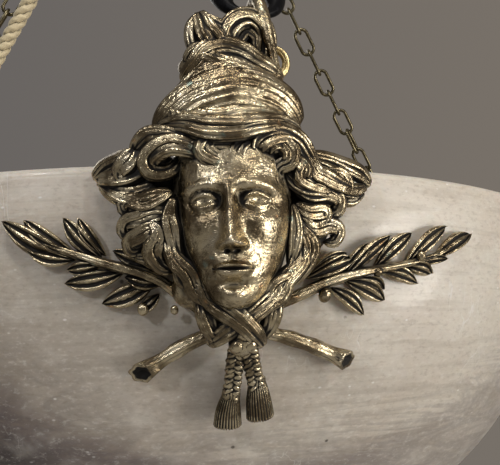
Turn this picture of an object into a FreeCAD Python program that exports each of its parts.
"""Alabaster bowl pendant: a veined stone bowl hung on three chains from a turned hub.

Millimetres, +Z up, origin at the centre of the ceiling face that the crossbar is screwed to.
Each of the three mounts is a mask with a hair bow, two crossed laurel branches and a pair of
tassels, bolted to the bowl's wall. The near mount looks along -Y; the others stand a third of a
turn from it. Places on a mount are (u, v, w): u round the bowl to the viewer's right, v up from
the rim and w out from the bowl's wall.
"""
import math
import os

import FreeCAD
import Part

# ---- driving sizes: bowl
BOWL_RADIUS = 200.0
BOWL_DEPTH = 165.0
BOWL_WALL = 13.0
SHOULDER_RADIUS = 150.0  # of the arc from the rim down; the belly's arc is worked out from it
RIM_BEVEL = 1.2
MOUNTS = 3
MOUNT_NAMES = ("front", "rear_right", "rear_left")

# ---- driving sizes: hanging height
HUB_RISE = 300.0  # from the rim up to the eyes that the three chains hang from
HUB_EYE_CIRCLE = 16.0  # radius of the circle of those eyes
UPPER_DROP = 148.0  # from the stirrup's bar down to the hub's top eye

# ---- driving sizes: ceiling parts
CANOPY_RADIUS = 62.0
CANOPY_HEIGHT = 44.0
CANOPY_WALL = 1.6
CROSSBAR_LENGTH = 104.0
CROSSBAR_WIDTH = 24.0
CROSSBAR_THICK = 2.5
CROSSBAR_STEP = 7.0  # how far its middle stands below the ceiling
SCREW_SPACING = 84.0
SCREW_HOLE_RADIUS = 2.5
NIPPLE_RADIUS = 8.5
NUT_THICK = 4.0
STIRRUP_BODY_RADIUS = 20.0
STIRRUP_GAP = 13.4  # half the clear width between its legs
STIRRUP_BAR = 2.75  # radius of its bar
STIRRUP_DROP = 54.0  # from the bottom of its body to the bar's centre
COLLAR_RADIUS = 28.0
COLLAR_HEIGHT = 8.0

# ---- driving sizes: chains, as wire radius, least clear width and about the clear length
CHAIN_WIRE = 1.2
CHAIN_WIDTH = 6.6
CHAIN_PITCH = 16.8
CHAIN_TWIST = 40.0  # degrees that the chain's middle links turn round its line
UPPER_WIRE = 1.7
UPPER_WIDTH = 8.0
UPPER_PITCH = 24.0

# ---- driving sizes: cord, fittings and lamps
CORD_RADIUS = 5.0
STUD_RADIUS = 2.5
STUD_WASHER_RADIUS = 8.0
STUD_WASHER_THICK = 2.5
STUD_NUT_FLATS = 9.0
STUD_NUT_THICK = 4.5
FACE_STUD_V = -20.0
KNOT_STUD_U, KNOT_STUD_V = 2.5, -49.0
ARM_WIDTH = 12.0
ARM_THICK = 2.0
ARM_TAB = 10.0  # half the length of its end that lies along the bowl
BOX_RADIUS = 27.0
BOX_HEIGHT = 26.0
BOX_WALL = 1.5
LAMP_AXIS_V = -78.0
HOLDER_RADIUS = 13.5
HOLDER_LENGTH = 44.0
BULB_RADIUS = 22.5
BULB_NECK_RADIUS = 12.0
BULB_LENGTH = 78.0
BULB_BANDS = 8
BLOCK_SIZE = (22.0, 14.0, 11.0)

# ---- clearances
LINK_GAP = 0.3
SEAT_GAP = 0.3
BORE_GAP = 0.3
WALL_GAP = 0.3

# ---- worked out from the sizes above
CANOPY_Z = -CANOPY_HEIGHT
COLLAR_Z = CANOPY_Z - COLLAR_HEIGHT
BODY_BOTTOM_Z = COLLAR_Z - 1.0
STIRRUP_BAR_Z = BODY_BOTTOM_Z - STIRRUP_DROP
HUB_TOP_Z = STIRRUP_BAR_Z - UPPER_DROP
HUB_HEIGHT = 50.0
HUB_EYES_Z = HUB_TOP_Z - HUB_HEIGHT
RIM_Z = HUB_EYES_Z - HUB_RISE
CORD_BORE = CORD_RADIUS + BORE_GAP
STUD_BORE = STUD_RADIUS + BORE_GAP

V = FreeCAD.Vector
UP = V(0, 0, 1)
ORIGIN = V(0, 0, 0)


# ---- plain geometry
def unit(vector):
    return vector * (1.0 / vector.Length)


def polyhedron(faces):
    """A solid from flat outlines, turned right side out."""
    outlines = [Part.Face(Part.makePolygon(points + [points[0]])) for points in faces]
    solid = Part.Solid(Part.Shell(outlines))
    if solid.Volume < 0:
        solid.reverse()
    return solid


def closed_bar(corners, normal, radius, sides=6):
    """A bar of even section round a flat closed path, mitred at its corners."""
    rings = []
    count = len(corners)
    for i in range(count):
        into = unit(corners[i] - corners[i - 1])
        out = unit(corners[(i + 1) % count] - corners[i])
        along = unit(into + out)
        across = along.cross(normal)
        stretch = 1.0 / math.sqrt((1.0 + into.dot(out)) / 2.0)
        ring = []
        for k in range(sides):
            turn = 2 * math.pi * (k + 0.5) / sides
            ring.append(
                corners[i]
                + across * (radius * stretch * math.cos(turn))
                + normal * (radius * math.sin(turn))
            )
        rings.append(ring)
    faces = []
    for i in range(count):
        a, b = rings[i], rings[(i + 1) % count]
        for k in range(sides):
            m = (k + 1) % sides
            faces.append([a[k], b[k], b[m], a[m]])
    return polyhedron(faces)


def open_bar(points, radii, sides=6, face=V(0, -1, 0)):
    """A tapering bar through points, each ring set out from the way that face looks."""
    rings = []
    last = len(points) - 1
    for i, point in enumerate(points):
        along = unit(points[min(i + 1, last)] - points[max(i - 1, 0)])
        side = unit(along.cross(face))
        front = unit(side.cross(along))
        ring = []
        for k in range(sides):
            turn = 2 * math.pi * (k + 0.5) / sides
            ring.append(
                point
                + side * (radii[i] * math.cos(turn))
                + front * (radii[i] * math.sin(turn))
            )
        rings.append(ring)
    faces = [rings[0][::-1], rings[-1]]
    for a, b in zip(rings, rings[1:]):
        for k in range(sides):
            m = (k + 1) % sides
            faces.append([a[k], a[m], b[m]])
            faces.append([a[k], b[m], b[k]])
    return polyhedron(faces)


def turned(outline):
    """A revolved solid from (radius, height) corners."""
    points = [V(r, 0, z) for r, z in outline]
    return Part.Face(Part.makePolygon(points + [points[0]])).revolve(ORIGIN, UP, 360)


def drilled(shape, *tools):
    for tool in tools:
        shape = shape.cut(tool)
    return shape


def rod(start, end, radius):
    return Part.makeCylinder(radius, (end - start).Length, start, end - start)


def hex_prism(flats, thick, at, axis):
    corner_radius = flats / math.sqrt(3)
    turns = [k * math.pi / 3 for k in range(6)]
    corners = [V(corner_radius * math.cos(t), corner_radius * math.sin(t), 0) for t in turns]
    prism = Part.Face(Part.makePolygon(corners + [corners[0]])).extrude(V(0, 0, thick))
    prism.Placement = FreeCAD.Placement(at, FreeCAD.Rotation(UP, axis))
    return prism


def one_solid(shape):
    solids = shape.Solids
    if len(solids) != 1:
        print("more than one solid:", [round(s.Volume, 1) for s in solids])
    return max(solids, key=lambda s: s.Volume)


def write(name, shape):
    if not shape.isValid():
        print("not valid:", name)
    shape.exportStep("parts/" + name + ".step")


def group(shapes):
    return Part.makeCompound(shapes)


def around(shape, index):
    """The piece at one of the mounts, from the one at the near mount."""
    copy = shape.copy()
    copy.rotate(ORIGIN, UP, 360.0 * index / MOUNTS)
    return copy


# ---- the bowl's wall
SHOULDER_IN = BOWL_RADIUS - SHOULDER_RADIUS  # how far the shoulder arc's centre stands off the axis
BELLY_RADIUS = (
    (SHOULDER_IN**2 + BOWL_DEPTH**2 - SHOULDER_RADIUS**2) / 2 / (BOWL_DEPTH - SHOULDER_RADIUS)
)
BELLY_LIFT = BELLY_RADIUS - BOWL_DEPTH  # how far the belly arc's centre stands above the rim


def wall_radius(v):
    drop = min(0.0, v)
    return SHOULDER_IN + math.sqrt(SHOULDER_RADIUS**2 - drop * drop)


def on_wall(u, v, w):
    """A point of the near mount."""
    turn = u / BOWL_RADIUS
    radius = wall_radius(v) + w
    return V(radius * math.sin(turn), -radius * math.cos(turn), RIM_Z + v)


def wall_normal(u, v):
    """The way straight out of the bowl, below the rim."""
    turn = u / BOWL_RADIUS
    level = (wall_radius(v) - SHOULDER_IN) / SHOULDER_RADIUS
    return V(level * math.sin(turn), -level * math.cos(turn), v / SHOULDER_RADIUS)


def wall_arcs(inward):
    """The shoulder and belly arcs on the XZ plane, rim to bottom, and their two ends."""
    shoulder, belly = SHOULDER_RADIUS - inward, BELLY_RADIUS - inward
    lean = math.atan2(BELLY_LIFT, SHOULDER_IN)

    def on_shoulder(turn):
        return V(SHOULDER_IN + shoulder * math.cos(turn), 0, RIM_Z - shoulder * math.sin(turn))

    def on_belly(turn):
        return V(belly * math.cos(turn), 0, RIM_Z + BELLY_LIFT - belly * math.sin(turn))

    rim, join, bottom = on_shoulder(0), on_shoulder(lean), on_belly(math.pi / 2)
    arcs = [
        Part.Arc(rim, on_shoulder(lean / 2), join).toShape(),
        Part.Arc(join, on_belly((lean + math.pi / 2) / 2), bottom).toShape(),
    ]
    return arcs, rim, bottom


def line(start, end):
    return Part.LineSegment(start, end).toShape()


def bowl_body(grow):
    """The bowl filled to above its rim, grown outwards by a clearance."""
    arcs, rim, bottom = wall_arcs(-grow)
    top, edge = V(0, 0, RIM_Z + 30), V(rim.x, 0, RIM_Z + 30)
    wire = Part.Wire([line(top, edge), line(edge, rim)] + arcs + [line(bottom, top)])
    return Part.Face(wire).revolve(top, UP, 360)


STUDS = ((0.0, FACE_STUD_V), (KNOT_STUD_U, KNOT_STUD_V))
SEAT_DEPTH = BOWL_WALL - 1.0  # the inner face is cut back to this depth for a washer
STUD_GRIP = 15.0  # how far a stud reaches out from the wall into the casting


def stud_hole(u, v, reach):
    out = wall_normal(u, v)
    return rod(on_wall(u, v, 0) - out * 5, on_wall(u, v, 0) + out * reach, STUD_RADIUS + 0.05)


def stud_seat(u, v):
    """The washer's seat on the bowl's inner face, and the way out of the bowl there."""
    out = wall_normal(u, v)
    return on_wall(u, v, 0) - out * SEAT_DEPTH, out


def alabaster_bowl():
    outer, rim, bottom = wall_arcs(0)
    inner, inner_rim, inner_bottom = wall_arcs(BOWL_WALL)
    lip, inner_lip = V(0, 0, RIM_BEVEL), V(RIM_BEVEL, 0, 0)
    edges = [line(inner_rim + lip, inner_rim), line(rim, rim + lip)]
    edges.append(line(rim + lip, rim + lip * 2 - inner_lip))
    edges.append(line(rim + lip * 2 - inner_lip, inner_rim + lip * 2 + inner_lip))
    edges.append(line(inner_rim + lip * 2 + inner_lip, inner_rim + lip))
    edges += outer + inner + [line(bottom, inner_bottom)]
    bowl = Part.Face(Part.Wire(Part.__sortEdges__(edges))).revolve(V(0, 0, RIM_Z), UP, 360)
    for index in range(MOUNTS):
        for u, v in STUDS:
            seat, out = stud_seat(u, v)
            hole = rod(seat - out * 20, seat + out * 30, STUD_BORE)
            face = rod(seat - out * 20, seat, STUD_WASHER_RADIUS + 1.0)
            bowl = drilled(bowl, around(hole, index), around(face, index))
    return one_solid(bowl)


# ---- ceiling parts
def crossbar():
    half, step, thick = CROSSBAR_LENGTH / 2, CROSSBAR_STEP, CROSSBAR_THICK
    flat = 22.0  # half the length of the lowered middle
    top = [(-half, 0), (-flat - step, 0), (-flat, -step), (flat, -step), (flat + step, 0), (half, 0)]
    outline = [V(x, 0, z) for x, z in top] + [V(x, 0, z - thick) for x, z in reversed(top)]
    bar = Part.Face(Part.makePolygon(outline + [outline[0]])).extrude(V(0, CROSSBAR_WIDTH, 0))
    bar.translate(V(0, -CROSSBAR_WIDTH / 2, 0))
    holes = [Part.makeCylinder(NIPPLE_RADIUS + BORE_GAP, 40, V(0, 0, -30))]
    for side in (-1, 1):
        at = V(side * SCREW_SPACING / 2, 0, -20)
        holes.append(Part.makeCylinder(SCREW_HOLE_RADIUS, 40, at))
    return one_solid(drilled(bar, *holes))


BAR_TOP_Z = -CROSSBAR_STEP
BAR_BOTTOM_Z = BAR_TOP_Z - CROSSBAR_THICK
NIPPLE_TOP_Z = BAR_TOP_Z + NUT_THICK + 1.5
BODY_TOP_Z = BAR_BOTTOM_Z - NUT_THICK - 6.0
NIPPLE_BOTTOM_Z = BODY_TOP_Z - 14.0
NUT_FLATS = 24.0


def nipple():
    return turned(
        [
            (CORD_BORE, NIPPLE_BOTTOM_Z),
            (NIPPLE_RADIUS, NIPPLE_BOTTOM_Z),
            (NIPPLE_RADIUS, NIPPLE_TOP_Z),
            (CORD_BORE, NIPPLE_TOP_Z),
        ]
    )


def nipple_nut(z):
    nut = hex_prism(NUT_FLATS, NUT_THICK, V(0, 0, z), UP)
    return drilled(nut, Part.makeCylinder(NIPPLE_RADIUS + 0.05, 40, V(0, 0, z - 20)))


def canopy():
    """A spun cup with a stepped shoulder and a rolled rim at the ceiling."""
    r, wall = CANOPY_RADIUS, CANOPY_WALL
    hole = STIRRUP_BODY_RADIUS + 2 * BORE_GAP
    z0, z1 = CANOPY_Z, -0.5
    height = z1 - z0
    outline = [
        (hole, z0),
        (0.52 * r, z0),
        (0.62 * r, z0 + 0.08 * height),
        (0.62 * r, z0 + 0.2 * height),
        (0.84 * r, z0 + 0.42 * height),
        (0.94 * r, z0 + 0.72 * height),
        (0.94 * r, z0 + 0.82 * height),
        (r, z0 + 0.86 * height),
        (r, z1),
        (0.94 * r - wall, z1),
        (0.94 * r - wall, z0 + 0.74 * height),
        (0.84 * r - wall, z0 + 0.44 * height + wall),
        (0.62 * r - wall, z0 + 0.2 * height + wall),
        (0.62 * r - wall, z0 + wall),
        (hole, z0 + wall),
    ]
    return turned(outline)


def collar():
    """The ring nut that holds the canopy up, with a waist for the fingers."""
    bore = STIRRUP_BODY_RADIUS + 0.1
    top, low, r = CANOPY_Z - 0.02, COLLAR_Z, COLLAR_RADIUS
    third = COLLAR_HEIGHT / 3
    return turned(
        [
            (bore, low),
            (r - 5, low),
            (r - 2.5, low + third),
            (r, low + 2 * third),
            (r, top),
            (bore, top),
        ]
    )


def stirrup():
    """The threaded body that the cord comes down through, and the tall loop below it."""
    body = turned(
        [
            (NIPPLE_RADIUS + 0.05, BODY_TOP_Z),
            (NIPPLE_RADIUS + 6, BODY_TOP_Z),
            (STIRRUP_BODY_RADIUS, BODY_TOP_Z - 6),
            (STIRRUP_BODY_RADIUS, BODY_BOTTOM_Z),
            (CORD_BORE, BODY_BOTTOM_Z),
            (CORD_BORE, NIPPLE_BOTTOM_Z),
            (NIPPLE_RADIUS + 0.05, NIPPLE_BOTTOM_Z),
        ]
    )
    leg = STIRRUP_GAP + STIRRUP_BAR
    top = BODY_BOTTOM_Z + 3.0
    bend = 10.0
    corners = [
        V(0, -leg, top),
        V(0, -leg, STIRRUP_BAR_Z + bend),
        V(0, -leg + 0.3 * bend, STIRRUP_BAR_Z + 0.3 * bend),
        V(0, -leg + bend, STIRRUP_BAR_Z),
        V(0, leg - bend, STIRRUP_BAR_Z),
        V(0, leg - 0.3 * bend, STIRRUP_BAR_Z + 0.3 * bend),
        V(0, leg, STIRRUP_BAR_Z + bend),
        V(0, leg, top),
    ]
    loop = open_bar(corners, [STIRRUP_BAR] * len(corners), 8, face=V(1, 0, 0))
    return one_solid(body.fuse(loop))


# ---- chains
def link(at, along, face, clear_length, clear_width, wire):
    """One link: its clear space is centred at a point, long one way and facing another."""
    across = along.cross(face)
    a, b = clear_width / 2 + wire, clear_length / 2 + wire
    bend = 0.586 * a
    quarter = ((a, bend - b), (a, b - bend), (a - bend, b), (bend - a, b))
    corners = [at + across * x + along * y for x, y in quarter]
    corners += [at - across * x - along * y for x, y in quarter]
    return closed_bar(corners, face, wire)


def chain(low, high, low_radius, high_radius, pitch, width, wire, face, twist=0.0):
    """Taut links from one bar up to another. The first link stands square to face's way.

    The end links stand square to their bars and the twist comes in over three links.
    """
    along = unit(high - low)
    across = unit(face - along * face.dot(along))
    span = (high - low).Length + low_radius + high_radius + 2 * LINK_GAP
    count = max(2, 2 * round(span / pitch / 2))
    length = (span + (count - 1) * LINK_GAP) / count
    links = []
    for k in range(count):
        start = -low_radius - LINK_GAP + k * (length - LINK_GAP)
        middle = low + along * (start + length / 2)
        looks = across if k % 2 == 0 else unit(along.cross(across))
        turn = twist * min(1.0, k / 3, (count - 1 - k) / 3)
        looks = FreeCAD.Rotation(along, turn).multVec(looks)
        links.append(link(middle, along, looks, length, width, wire))
    return links


def ring(centre, normal, radius, wire, sides=8, section=6):
    side = unit(normal.cross(V(0.3, 0.1, 1) if abs(normal.z) > 0.9 else UP))
    other = normal.cross(side)
    corners = []
    for k in range(sides):
        turn = 2 * math.pi * (k + 0.5) / sides
        corners.append(centre + side * (radius * math.cos(turn)) + other * (radius * math.sin(turn)))
    return closed_bar(corners, normal, wire, section)


# ---- hub
HUB_RADIUS = HUB_EYE_CIRCLE + 4.0
HUB_EYE_RADIUS = 5.0
HUB_EYE_WIRE = 1.5
TOP_EYE_RADIUS = 8.0
TOP_EYE_WIRE = 2.0
HUB_BOTTOM_Z = HUB_EYES_Z + 2 * HUB_EYE_RADIUS + HUB_EYE_WIRE + 1.0


def hub_body():
    top = HUB_TOP_Z - 2 * TOP_EYE_RADIUS - 4.0
    low = HUB_BOTTOM_Z
    height = top - low
    return turned(
        [
            (0, low - 3),
            (5, low - 3),
            (8, low),
            (HUB_RADIUS, low),
            (HUB_RADIUS, low + 0.18 * height),
            (0.8 * HUB_RADIUS, low + 0.26 * height),
            (0.72 * HUB_RADIUS, low + 0.5 * height),
            (0.4 * HUB_RADIUS, low + 0.74 * height),
            (0.45 * HUB_RADIUS, top),
            (0, top),
        ]
    )


def hub_top_eye():
    centre = V(0, 0, HUB_TOP_Z - TOP_EYE_RADIUS)
    top = HUB_TOP_Z - 2 * TOP_EYE_RADIUS - 4.0
    eye = ring(centre, V(0, 1, 0), TOP_EYE_RADIUS, TOP_EYE_WIRE)
    flat = TOP_EYE_RADIUS * math.cos(math.pi / 8)
    eye.translate(V(0, 0, TOP_EYE_RADIUS - flat))
    foot = rod(V(0, 0, top), V(0, 0, HUB_TOP_Z - 2 * TOP_EYE_RADIUS + 2.0), 3.5)
    return one_solid(eye.fuse(foot))


def hub_eye_centre():
    return V(0, -HUB_EYE_CIRCLE, HUB_EYES_Z + HUB_EYE_RADIUS)


def hub_eye():
    """One of the three eyes under the hub, for the near chain."""
    centre = hub_eye_centre()
    eye = ring(centre, V(1, 0, 0), HUB_EYE_RADIUS, HUB_EYE_WIRE)
    foot = rod(centre + V(0, 0, HUB_EYE_RADIUS - 0.8), V(0, -HUB_EYE_CIRCLE, HUB_BOTTOM_Z), 2.2)
    return one_solid(eye.fuse(foot))


# ---- the mount's hook, shackle and chain
HOOK_PATH = (
    (12.5, 17.0, 11.0, 3.4),
    (13.4, 26.0, 13.5, 1.9),
    (12.8, 31.0, 14.4, 1.7),
    (11.6, 38.0, 14.8, 2.3),
    (10.4, 45.0, 14.4, 2.4),
    (9.6, 50.0, 12.2, 2.0),
    (8.9, 51.8, 8.0, 1.9),
    (8.6, 50.2, 4.6, 1.7),
    (8.6, 46.0, 3.0, 1.2),
)
HOOK_TOP = HOOK_PATH[-3]
SHACKLE_WIRE = 1.5
UNDER_HOOK = HOOK_TOP[3] * math.cos(math.pi / 6) + SHACKLE_WIRE + SEAT_GAP
HOOK_SEAT = on_wall(HOOK_TOP[0], HOOK_TOP[1] - UNDER_HOOK, HOOK_TOP[2])
SHACKLE_LENGTH = 24.0
SHACKLE_OUTLINE = (
    # out to one side, along towards the chain, radius
    (-0.5, 0, 1.5),
    (4.0, 0.6, 1.5),
    (7.0, 3.4, 2.1),
    (8.4, 7.5, 3.0),
    (9.0, 13.0, 3.6),
    (9.0, 19.0, 3.4),
    (8.2, 27.0, 3.0),
)
PIN_RADIUS = 1.6
PIN_HALF = 12.6  # half its length, riveted over just outside the cheeks
HUB_AIM = hub_eye_centre()
CHAIN_WAY = unit(HUB_AIM - HOOK_SEAT)
CHAIN_SIDE = unit(V(1, 0, 0) - CHAIN_WAY * CHAIN_WAY.x)
PIN_AT = HOOK_SEAT + CHAIN_WAY * SHACKLE_LENGTH


def hook():
    points = [on_wall(u, v, w) for u, v, w, _ in HOOK_PATH]
    return open_bar(points, [r for *_, r in HOOK_PATH], face=V(1, 0, 0))


def shackle():
    """A lyre of black iron: thin in the bend, its cheeks swelling up to the pin."""
    radii = [r for *_, r in SHACKLE_OUTLINE]
    face = unit(CHAIN_SIDE.cross(CHAIN_WAY))
    cheeks = []
    for side in (-1, 1):
        points = [
            HOOK_SEAT + CHAIN_SIDE * (side * x) + CHAIN_WAY * s for x, s, _ in SHACKLE_OUTLINE
        ]
        cheeks.append(open_bar(points, radii, face=face))
    bow = cheeks[0].fuse(cheeks[1])
    bore = rod(PIN_AT - CHAIN_SIDE * 20, PIN_AT + CHAIN_SIDE * 20, PIN_RADIUS + 0.05)
    return one_solid(bow.cut(bore))


def shackle_pin():
    return rod(PIN_AT - CHAIN_SIDE * PIN_HALF, PIN_AT + CHAIN_SIDE * PIN_HALF, PIN_RADIUS)


def suspension_chain():
    eye_bar = HUB_AIM - CHAIN_WAY * (HUB_EYE_RADIUS * math.cos(math.pi / 8))
    sizes = (CHAIN_PITCH, CHAIN_WIDTH, CHAIN_WIRE)
    return chain(PIN_AT, eye_bar, PIN_RADIUS, HUB_EYE_WIRE, *sizes, CHAIN_SIDE, CHAIN_TWIST)


KEEPER_AT = (13.4, 32.2, 9.5)
KEEPER_RADIUS = 4.6
KEEPER_WIRE = 1.25


def keeper_ring():
    """The reeded ring that ties the hook's foot to the hair bow."""
    u, v, w = KEEPER_AT
    return ring(on_wall(u, v, w), V(0, -1, 0), KEEPER_RADIUS, KEEPER_WIRE, 12, 6)


# ---- the mask
def lock(path, sides=6):
    """A lock of hair from (u, v, w, radius) stations."""
    points = [on_wall(u, v, w) for u, v, w, _ in path]
    return open_bar(points, [r for *_, r in path], sides)


def mirrored(path):
    return tuple((-u, v, w, r) for u, v, w, r in path)


FACE_LEVELS = (
    # v, half width, how far its front stands out
    (-43.5, 4.0, 17.0),
    (-40.0, 8.5, 21.0),
    (-33.0, 13.2, 23.5),
    (-24.0, 16.2, 25.0),
    (-14.0, 17.2, 25.0),
    (-4.0, 16.5, 23.5),
    (6.0, 13.5, 19.0),
)
FACE_SIDES = 12


def face_block():
    """The head's front as rounded sections, chin to hairline."""
    rings = []
    for v, half, out in FACE_LEVELS:
        section = []
        for k in range(FACE_SIDES):
            turn = 2 * math.pi * k / FACE_SIDES
            w = out * 0.5 + out * 0.5 * math.sin(turn)
            section.append(on_wall(half * math.cos(turn), v, w))
        rings.append(section)
    faces = fan(rings[0][::-1]) + fan(rings[-1])
    for a, b in zip(rings, rings[1:]):
        for k in range(FACE_SIDES):
            m = (k + 1) % FACE_SIDES
            faces.append([a[k], a[m], b[m]])
            faces.append([a[k], b[m], b[k]])
    return polyhedron(faces)


def fan(outline):
    """Triangles from an outline's middle, for an outline that isn't flat."""
    middle = V(0, 0, 0)
    for point in outline:
        middle = middle + point * (1.0 / len(outline))
    count = len(outline)
    return [[outline[k], outline[(k + 1) % count], middle] for k in range(count)]


CROWN_LOCK = (
    (-17.0, 6.0, 10.0, 10.0),
    (-8.0, 11.0, 13.0, 12.5),
    (8.0, 11.5, 13.0, 12.5),
    (18.0, 6.0, 10.0, 10.0),
)
ROLLED_BAND = (
    (-17.0, 12.0, 13.0, 4.5),
    (-8.0, 18.5, 15.0, 6.0),
    (8.0, 20.0, 14.0, 6.0),
    (15.0, 14.0, 13.0, 4.5),
)
LEFT_WING = (
    (-12.0, 8.0, 12.0, 8.0),
    (-22.0, 3.0, 10.0, 8.0),
    (-30.0, -0.5, 8.0, 6.0),
    (-39.5, -3.0, 4.0, 1.8),
)
RIGHT_WING = (
    (12.0, 9.0, 12.0, 8.0),
    (24.0, 3.0, 10.0, 7.5),
    (33.0, -2.0, 7.5, 5.5),
    (42.0, -6.5, 4.5, 3.0),
)
LEFT_CURLS = (
    (-16.0, 2.0, 11.0, 7.0),
    (-23.0, -8.0, 10.0, 7.5),
    (-22.5, -20.0, 9.0, 6.5),
    (-17.0, -31.0, 8.5, 5.0),
)
JAW_LOCK = (
    (-18.0, -27.0, 8.0, 4.0),
    (-12.5, -37.0, 11.0, 4.6),
    (-5.0, -44.0, 14.5, 4.4),
    (3.5, -50.0, 15.5, 4.0),
)
CROWN_WAVES = (
    ((-21.0, 6.5, 12.0, 2.0), (-8.0, 15.0, 19.0, 4.5), (11.5, 15.5, 18.0, 4.5), (18.5, 13.0, 13.0, 2.0)),
    ((-16.5, 15.5, 14.0, 2.0), (-2.0, 21.0, 18.0, 4.0), (16.0, 19.0, 14.0, 2.0)),
    ((-14.0, 21.0, 13.0, 1.6), (0.0, 23.5, 17.0, 3.0), (15.5, 22.0, 13.0, 1.6)),
    ((5.5, 0.0, 19.0, 1.2), (0.0, 5.5, 22.0, 2.6), (-8.0, 4.0, 21.0, 3.0), (-16.0, 5.5, 18.0, 3.0),
     (-25.0, 4.5, 13.0, 1.4)),
    ((7.5, -1.0, 18.0, 1.2), (8.0, 4.5, 21.0, 2.6), (16.0, 5.0, 19.0, 3.0), (24.0, 0.0, 15.0, 1.6)),
    ((8.0, -0.5, 19.0, 1.0), (12.0, 3.5, 21.0, 2.2), (14.0, -1.5, 19.0, 2.0), (11.0, -4.5, 18.0, 1.0)),
    ((-8.5, -2.0, 18.0, 1.2), (-12.0, 2.0, 20.0, 2.4), (-19.0, 2.0, 17.0, 2.6), (-22.0, -3.0, 14.0, 2.2)),
)
SIDE_WAVES = (
    ((16.0, 2.0, 18.0, 1.4), (23.0, -3.5, 15.0, 2.4), (31.0, -6.0, 12.0, 2.2), (42.0, -5.0, 7.0, 1.4)),
    ((22.0, 2.0, 14.0, 1.6), (32.0, 1.0, 10.0, 2.8), (41.0, -1.0, 7.0, 2.4), (46.0, -3.5, 5.0, 1.2)),
    ((-20.0, 3.0, 13.0, 1.6), (-29.0, 1.2, 9.5, 3.0), (-39.0, -2.5, 4.5, 1.2)),
    ((-20.0, -7.0, 12.0, 1.6), (-27.0, -9.0, 10.0, 2.6), (-36.0, -5.0, 5.0, 1.2)),
    ((-16.5, -10.0, 14.0, 1.6), (-24.0, -12.0, 12.0, 2.6), (-29.5, -13.0, 9.0, 1.8)),
    ((-16.0, -15.5, 13.0, 1.6), (-24.0, -16.5, 11.0, 2.6), (-29.5, -19.0, 8.0, 1.8)),
    ((-17.0, -20.0, 13.0, 1.6), (-23.5, -21.5, 11.0, 2.4), (-28.0, -24.5, 8.5, 1.6)),
    ((-17.0, -23.0, 13.0, 1.6), (-21.5, -26.5, 12.0, 2.4), (-17.0, -31.5, 12.0, 1.4)),
    ((17.5, -8.0, 15.0, 1.6), (26.0, -8.5, 12.0, 2.6), (32.0, -12.0, 9.5, 1.8)),
    ((18.5, -15.5, 14.0, 1.6), (26.0, -18.0, 11.5, 2.6), (33.0, -20.0, 8.0, 1.6)),
    ((18.5, -19.0, 14.0, 1.6), (22.5, -26.0, 12.0, 2.4), (18.0, -35.5, 12.0, 1.4)),
)
KNOT_BEAD = ((2.5, -44.5, 15.5, 3.0), (2.5, -49.0, 16.5, 5.0), (2.5, -53.5, 16.0, 2.6))
TOPKNOT = ((1.0, 14.0, 12.0, 7.0), (1.5, 25.0, 12.0, 6.0), (1.5, 30.5, 12.0, 4.0))


def bow_loop(u, v, w, radius, lean):
    """One lobe of the hair bow, as an open loop that leans back."""
    normal = unit(V(lean, -1, 0.25))
    return ring(on_wall(u, v, w), normal, radius, 2.4, 8, 6)


def mask():
    bits = [
        face_block(),
        lock(CROWN_LOCK, 8),
        lock(ROLLED_BAND),
        lock(LEFT_WING),
        lock(RIGHT_WING),
        lock(LEFT_CURLS),
        lock(mirrored(LEFT_CURLS)),
        lock(JAW_LOCK),
        lock(mirrored(JAW_LOCK)),
        lock(KNOT_BEAD),
        lock(TOPKNOT),
        bow_loop(-6.3, 33.5, 12.0, 5.6, -0.5),
        bow_loop(6.2, 33.0, 12.0, 5.6, 0.3),
    ]
    bits += [lock(path) for path in CROWN_WAVES + SIDE_WAVES]
    casting = bits[0].multiFuse(bits[1:])
    casting = casting.cut(bowl_body(WALL_GAP))
    for u, v in STUDS:
        casting = casting.cut(stud_hole(u, v, STUD_GRIP))
    return one_solid(drilled(casting, hook(), keeper_ring()))


def stud(u, v):
    seat, out = stud_seat(u, v)
    inner = STUD_WASHER_THICK + ARM_THICK + STUD_NUT_THICK + 3.0
    return rod(seat - out * inner, on_wall(u, v, 0) + out * (STUD_GRIP - 0.2), STUD_RADIUS)


def stud_washer(u, v):
    seat, out = stud_seat(u, v)
    disc = rod(seat - out * STUD_WASHER_THICK, seat, STUD_WASHER_RADIUS)
    return disc.cut(rod(seat - out * 9, seat + out * 9, STUD_BORE))


def stud_nut(u, v, under):
    seat, out = stud_seat(u, v)
    nut = hex_prism(STUD_NUT_FLATS, STUD_NUT_THICK, seat - out * (STUD_WASHER_THICK + under), -out)
    return nut.cut(rod(seat - out * 20, seat + out * 9, STUD_RADIUS + 0.05))


# ---- laurel and tassels
def leaf(base, tip, half_width, lift=3.2):
    """A pointed leaf with a raised midrib; base and tip are (u, v)."""
    (bu, bv), (tu, tv) = base, tip
    length = math.hypot(tu - bu, tv - bv)
    mu, mv = bu + 0.42 * (tu - bu), bv + 0.42 * (tv - bv)
    su, sv = -(tv - bv) / length * half_width, (tu - bu) / length * half_width
    points = {
        "base": on_wall(bu, bv, 2.2),
        "tip": on_wall(tu, tv, 1.6),
        "left": on_wall(mu + su, mv + sv, 1.6),
        "right": on_wall(mu - su, mv - sv, 1.6),
        "top": on_wall(mu, mv, lift),
        "back": on_wall(mu, mv, 1.0),
    }
    rim = [points[k] for k in ("base", "left", "tip", "right")]
    faces = []
    for k in range(4):
        a, b = rim[k], rim[(k + 1) % 4]
        faces.append([a, b, points["top"]])
        faces.append([b, a, points["back"]])
    return polyhedron(faces)


def berry(u, v, w, radius):
    end = 0.35 * radius
    return lock(((u, v - radius, w, end), (u, v, w, radius), (u, v + radius, w, end)))


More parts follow.
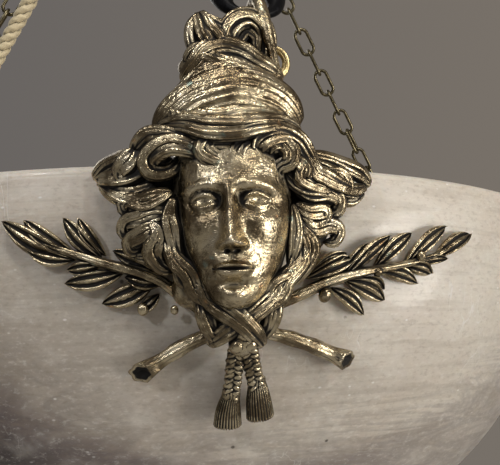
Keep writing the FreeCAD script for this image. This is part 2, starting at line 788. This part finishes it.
RIGHT_BOSS = (0.6, 3.3)  # from and to, out from the wall
LEFT_BOSS = (3.6, 6.3)
EYE_BOSS = (6.6, 9.2)
BOSS_RADIUS = 4.6
RIGHT_STEM = (
    (-27.0, -60.4, 4.6, 3.4),
    (-22.5, -58.8, 3.4, 2.5),
    (-12.0, -54.8, 2.7, 2.1),
    (-3.5, -51.6, 2.2, 1.5),
    (2.5, -49.0, 2.1, 1.4),
    (16.0, -41.0, 2.9, 1.9),
    (36.0, -32.0, 2.8, 1.4),
    (58.0, -26.5, 2.6, 1.2),
    (78.0, -23.0, 2.4, 0.9),
)
LEFT_STEM = (
    (41.0, -58.8, 6.0, 3.3),
    (35.5, -57.4, 5.2, 2.5),
    (22.0, -53.8, 5.2, 2.1),
    (9.0, -50.9, 5.3, 1.5),
    (2.5, -49.0, 5.4, 1.4),
    (-13.0, -41.0, 3.7, 1.9),
    (-30.0, -32.0, 2.8, 1.4),
    (-48.0, -27.0, 2.6, 1.2),
    (-66.0, -22.0, 2.4, 0.9),
)
RIGHT_LEAVES = (
    ((17.0, -39.0), (40.0, -28.5), 4.2),
    ((35.0, -33.0), (55.0, -19.5), 3.8),
    ((49.0, -29.0), (64.0, -18.0), 3.6),
    ((57.0, -27.0), (80.0, -15.5), 3.6),
    ((74.0, -24.0), (92.0, -17.0), 3.0),
    ((45.0, -29.5), (69.0, -33.5), 3.6),
    ((60.0, -26.8), (75.0, -30.5), 2.8),
    ((31.0, -33.8), (55.0, -39.5), 3.4),
    ((24.0, -36.5), (47.0, -43.5), 3.4),
    ((72.0, -24.0), (86.0, -27.0), 2.6),
)
LEFT_LEAVES = (
    ((-13.0, -40.0), (-33.0, -25.5), 4.0),
    ((-28.0, -33.5), (-49.5, -15.5), 3.8),
    ((-40.0, -29.5), (-67.5, -14.0), 3.8),
    ((-44.0, -28.5), (-61.5, -24.5), 3.2),
    ((-60.0, -24.0), (-80.0, -16.0), 3.2),
    ((-32.0, -31.5), (-50.0, -34.0), 3.4),
    ((-20.0, -37.0), (-38.0, -40.5), 3.6),
    ((-12.0, -41.0), (-26.0, -43.5), 3.0),
    ((-52.0, -26.2), (-66.0, -30.0), 2.8),
)
RIGHT_BERRIES = ((29.6, -36.0, 4.5, 2.6), (68.5, -26.5, 3.8, 2.2))
LEFT_BERRIES = ((-25.0, -38.5, 4.2, 2.6), (-56.0, -24.5, 3.8, 2.0))


def boss(reach):
    """A flat disc round the knot's stud."""
    low, high = reach
    place, out = on_wall(KNOT_STUD_U, KNOT_STUD_V, 0), wall_normal(KNOT_STUD_U, KNOT_STUD_V)
    return rod(place + out * low, place + out * high, BOSS_RADIUS)


def branch(stem, leaves, berries, reach):
    bits = [lock(stem), boss(reach)]
    bits += [leaf(base, tip, half) for base, tip, half in leaves]
    bits += [berry(*place) for place in berries]
    twig = bits[0].multiFuse(bits[1:])
    return one_solid(drilled(twig, bowl_body(WALL_GAP), stud_hole(KNOT_STUD_U, KNOT_STUD_V, 20)))


TASSEL_CORDS = (
    (
        (2.2, -51.5, 8.9, 1.3),
        (0.8, -58.0, 9.2, 2.2),
        (0.2, -66.0, 6.2, 2.4),
        (0.4, -69.5, 5.8, 2.8),
        (0.8, -77.0, 6.0, 4.4),
    ),
    (
        (3.4, -51.5, 8.9, 1.3),
        (6.4, -58.0, 9.2, 2.2),
        (9.0, -63.0, 6.2, 2.4),
        (10.0, -65.5, 5.8, 2.8),
        (12.0, -75.0, 6.0, 4.4),
    ),
)


def tassels():
    """Two plaited tassels that hang from one eye under the knot."""
    cords = [lock(path) for path in TASSEL_CORDS]
    pair = boss(EYE_BOSS).multiFuse(cords)
    return one_solid(drilled(pair, bowl_body(WALL_GAP), stud_hole(KNOT_STUD_U, KNOT_STUD_V, 20)))


# ---- lamps inside the bowl
LAMP_Z = RIM_Z + LAMP_AXIS_V
BOX_TOP_Z = LAMP_Z + BOX_HEIGHT / 2
BOX_LOW_Z = LAMP_Z - BOX_HEIGHT / 2
LID_TOP_Z = BOX_TOP_Z + 11.0


def junction_box():
    r, wall = BOX_RADIUS, BOX_WALL
    cup = turned(
        [
            (0, BOX_LOW_Z),
            (r - 5, BOX_LOW_Z),
            (r, BOX_LOW_Z + 5),
            (r, BOX_TOP_Z),
            (r - wall, BOX_TOP_Z),
            (r - wall, BOX_LOW_Z + 5.4),
            (r - 5.4, BOX_LOW_Z + wall),
            (0, BOX_LOW_Z + wall),
        ]
    )
    holes = []
    for index in range(MOUNTS):
        neck = rod(V(0, 10, LAMP_Z), V(0, r + 5, LAMP_Z), 5.2)
        holes.append(around(neck, index))
    return one_solid(drilled(cup, *holes))


def junction_lid():
    """A dished lid with the cord's bushed hole on its slope."""
    r = BOX_RADIUS
    lid = turned(
        [
            (CORD_BORE, BOX_TOP_Z + 0.02),
            (r + 1.5, BOX_TOP_Z + 0.02),
            (r + 1.5, BOX_TOP_Z + 2),
            (13, BOX_TOP_Z + 7),
            (9, LID_TOP_Z),
            (CORD_RADIUS - 1.5, LID_TOP_Z),
            (CORD_RADIUS - 1.5, LID_TOP_Z - 3),
            (CORD_BORE, LID_TOP_Z - 3),
        ]
    )
    return lid


def terminal_block():
    x, y, z = BLOCK_SIZE
    block = Part.makeBox(x, y, z, V(-x / 2, -y / 2, BOX_LOW_Z + BOX_WALL))
    bores = []
    for k in (-1, 0, 1):
        start = V(k * x / 3.2, -y, BOX_LOW_Z + BOX_WALL + z * 0.45)
        bores.append(Part.makeCylinder(1.8, 3 * y, start, V(0, 1, 0)))
    return one_solid(drilled(block, *bores))


def carrier_arm():
    """A bent strip from the box's wall to the stud behind the near mask."""
    seat, out = stud_seat(0.0, FACE_STUD_V)
    back = seat - out * STUD_WASHER_THICK
    up = V(0, out.z, -out.y)
    top, bend = back + up * ARM_TAB, back - up * ARM_TAB
    root = V(0, -BOX_RADIUS, LAMP_Z)
    way = unit(root - bend)
    lift = V(0, -way.z, way.y) * ARM_THICK
    lift = lift if lift.z > 0 else -lift
    rise = lift.z - lift.y * way.z / way.y
    inner_bend = bend - out * ARM_THICK
    slope = way.z / way.y
    over = root.z + rise + slope * (inner_bend.y - root.y) - inner_bend.z
    start = inner_bend + up * (over / (up.z - slope * up.y))
    outline = [top, bend, root, V(0, root.y, root.z + rise), start, top - out * ARM_THICK]
    strip = Part.Face(Part.makePolygon(outline + [outline[0]])).extrude(V(ARM_WIDTH, 0, 0))
    strip.translate(V(-ARM_WIDTH / 2, 0, 0))
    return one_solid(strip.cut(rod(seat - out * 12, seat + out * 5, STUD_BORE)))


def sideways(outline):
    """A turned piece on the lamp's axis, along +Y, from (radius, distance out) corners."""
    body = turned(outline)
    body.rotate(ORIGIN, V(1, 0, 0), -90)
    body.translate(V(0, 0, LAMP_Z))
    return body


HOLDER_START = BOX_RADIUS + 2.0
HOLDER_END = HOLDER_START + HOLDER_LENGTH


def lampholder():
    """A brass holder on a short neck, open at its mouth for the lamp's cap."""
    r = HOLDER_RADIUS
    return sideways(
        [
            (0, BOX_RADIUS - BOX_WALL - 3),
            (5, BOX_RADIUS - BOX_WALL - 3),
            (5, HOLDER_START),
            (8, HOLDER_START + 2),
            (r, HOLDER_START + 10),
            (r, HOLDER_END),
            (BULB_NECK_RADIUS + 0.3, HOLDER_END),
            (BULB_NECK_RADIUS + 0.3, HOLDER_START + 16),
            (0, HOLDER_START + 16),
        ]
    )


def bulb():
    """Cap and round glass of a lamp, seated in its holder."""
    start = HOLDER_START + 16 + SEAT_GAP
    centre = start + BULB_LENGTH - BULB_RADIUS
    first = math.pi - math.asin(BULB_NECK_RADIUS / BULB_RADIUS)
    outline = [(0, start), (6, start), (BULB_NECK_RADIUS, start + 4)]
    for k in range(BULB_BANDS + 1):
        turn = first * (1 - k / BULB_BANDS)
        outline.append((BULB_RADIUS * math.sin(turn), centre + BULB_RADIUS * math.cos(turn)))
    return sideways(outline)


# ---- the silk cord
def cord_path(points):
    """Straight runs joined by tangent arcs, each 0.45 of its shorter run."""
    edges, at, length, radii = [], points[0], 0.0, []
    for before, corner, after in zip(points, points[1:], points[2:]):
        into, out = unit(corner - before), unit(after - corner)
        short = min((corner - before).Length, (after - corner).Length)
        half_turn = math.acos(max(-1.0, min(1.0, into.dot(out)))) / 2
        back = 0.45 * short
        radius = back / math.tan(half_turn)
        start, end = corner - into * back, corner + out * back
        inward = unit(out - into)
        middle = corner + inward * (radius / math.cos(half_turn) - radius)
        edges.append(Part.LineSegment(at, start).toShape())
        edges.append(Part.Arc(start, middle, end).toShape())
        length += (start - at).Length + radius * 2 * half_turn
        radii.append(radius)
        at = end
    edges.append(Part.LineSegment(at, points[-1]).toShape())
    length += (points[-1] - at).Length
    return Part.Wire(edges), length, radii


def cord(name, points):
    wire, length, radii = cord_path(points)
    way = unit(points[1] - points[0])
    section = Part.Wire(Part.makeCircle(CORD_RADIUS, points[0], way))
    tube = wire.makePipeShell([section], True, False)
    ideal = math.pi * CORD_RADIUS**2 * length
    print(name, "length", round(length, 1), "volume share", round(tube.Volume / ideal, 4))
    print(name, "radii", [round(r, 1) for r in radii])
    return tube


CORD_SIDE = UPPER_WIDTH / 2 + 2 * UPPER_WIRE + CORD_RADIUS + 2.4
CORD_SPLIT_Z = STIRRUP_BAR_Z - 1.2 * UPPER_PITCH


def polar(turn, radius, z):
    angle = math.radians(turn)
    return V(radius * math.cos(angle), radius * math.sin(angle), z)


CORD_TURN = 186.0


def cord_top_points():
    return [
        V(0, 0, NIPPLE_TOP_Z),
        V(0, 0, BODY_BOTTOM_Z - 16.0),
        polar(CORD_TURN, CORD_SIDE, STIRRUP_BAR_Z + 7.0),
        polar(CORD_TURN, CORD_SIDE, CORD_SPLIT_Z),
    ]


def chain_side_point(share, turn):
    """Beside the rear left chain, a share of the way up it.

    The turn is in degrees round the chain, from the viewer's side of it to its underside.
    """
    beside = CHAIN_WIDTH / 2 + 2 * CHAIN_WIRE + CORD_RADIUS + 1.4
    way = FreeCAD.Rotation(CHAIN_WAY, turn).multVec(CHAIN_SIDE)
    place = PIN_AT + (HUB_AIM - PIN_AT) * share + way * beside
    return FreeCAD.Rotation(UP, 360.0 * 2 / MOUNTS).multVec(place)


def cord_run_points():
    hub_side = HUB_RADIUS + CORD_RADIUS + 1.0
    return [
        polar(CORD_TURN, CORD_SIDE, CORD_SPLIT_Z),
        polar(CORD_TURN, CORD_SIDE, HUB_TOP_Z + 18.0),
        polar(CORD_TURN, hub_side, HUB_BOTTOM_Z + 18.0),
        polar(CORD_TURN - 4.0, hub_side, HUB_BOTTOM_Z - 19.5),
        chain_side_point(0.7, 72.0),
        chain_side_point(0.15, 120.0),
        polar(159.0, 162.0, RIM_Z + 26.0),
        polar(156.0, 140.0, RIM_Z - 8.0),
        polar(153.0, 96.0, RIM_Z - 18.0),
        polar(151.0, 50.0, RIM_Z - 6.0),
        polar(150.0, 16.0, RIM_Z - 14.0),
        V(0, 0, RIM_Z - 33.0),
        V(0, 0, LID_TOP_Z),
    ]


# ---- all pieces
def build():
    os.makedirs("parts", exist_ok=True)
    write("ceiling_crossbar", crossbar())
    write("hollow_nipple", nipple())
    write("nipple_nuts", group([nipple_nut(BAR_TOP_Z), nipple_nut(BAR_BOTTOM_Z - NUT_THICK)]))
    write("stirrup_loop", stirrup())
    write("canopy", canopy())
    write("canopy_collar", collar())

    bar = V(0, 0, STIRRUP_BAR_Z)
    eye = V(0, 0, HUB_TOP_Z)
    links = chain(
        eye, bar, TOP_EYE_WIRE, STIRRUP_BAR, UPPER_PITCH, UPPER_WIDTH, UPPER_WIRE, V(1, 0, 0)
    )
    write("top_link", links[-1])
    write("upper_chain", group(links[:-1]))
    write("hub_body", hub_body())
    write("hub_top_eye", hub_top_eye())
    write("hub_chain_eyes", group([around(hub_eye(), i) for i in range(MOUNTS)]))

    near = {
        "suspension_chain": group(suspension_chain()),
        "shackle": shackle(),
        "hook": hook(),
        "keeper_ring": keeper_ring(),
        "mask": mask(),
        "laurel_right": branch(RIGHT_STEM, RIGHT_LEAVES, RIGHT_BERRIES, RIGHT_BOSS),
        "laurel_left": branch(LEFT_STEM, LEFT_LEAVES, LEFT_BERRIES, LEFT_BOSS),
        "tassels": tassels(),
    }
    for index, place in enumerate(MOUNT_NAMES):
        for name, shape in near.items():
            write(name + "_" + place, around(shape, index))
    write("shackle_pins", group([around(shackle_pin(), i) for i in range(MOUNTS)]))

    write("alabaster_bowl", alabaster_bowl())
    write("mask_studs", group([around(stud(u, v), i) for i in range(MOUNTS) for u, v in STUDS]))
    write(
        "stud_washers",
        group([around(stud_washer(u, v), i) for i in range(MOUNTS) for u, v in STUDS]),
    )
    nuts = [stud_nut(0.0, FACE_STUD_V, ARM_THICK), stud_nut(KNOT_STUD_U, KNOT_STUD_V, 0.0)]
    write("stud_nuts", group([around(nut, i) for i in range(MOUNTS) for nut in nuts]))
    write("carrier_arms", group([around(carrier_arm(), i) for i in range(MOUNTS)]))
    write("junction_box", junction_box())
    write("junction_lid", junction_lid())
    write("terminal_block", terminal_block())
    for index in range(MOUNTS):
        write("lampholder_" + str(index + 1), around(lampholder(), index))
        write("bulb_" + str(index + 1), around(bulb(), index))
    write("cord_top", cord("cord_top", cord_top_points()))
    write("cord_run", cord("cord_run", cord_run_points()))


build()
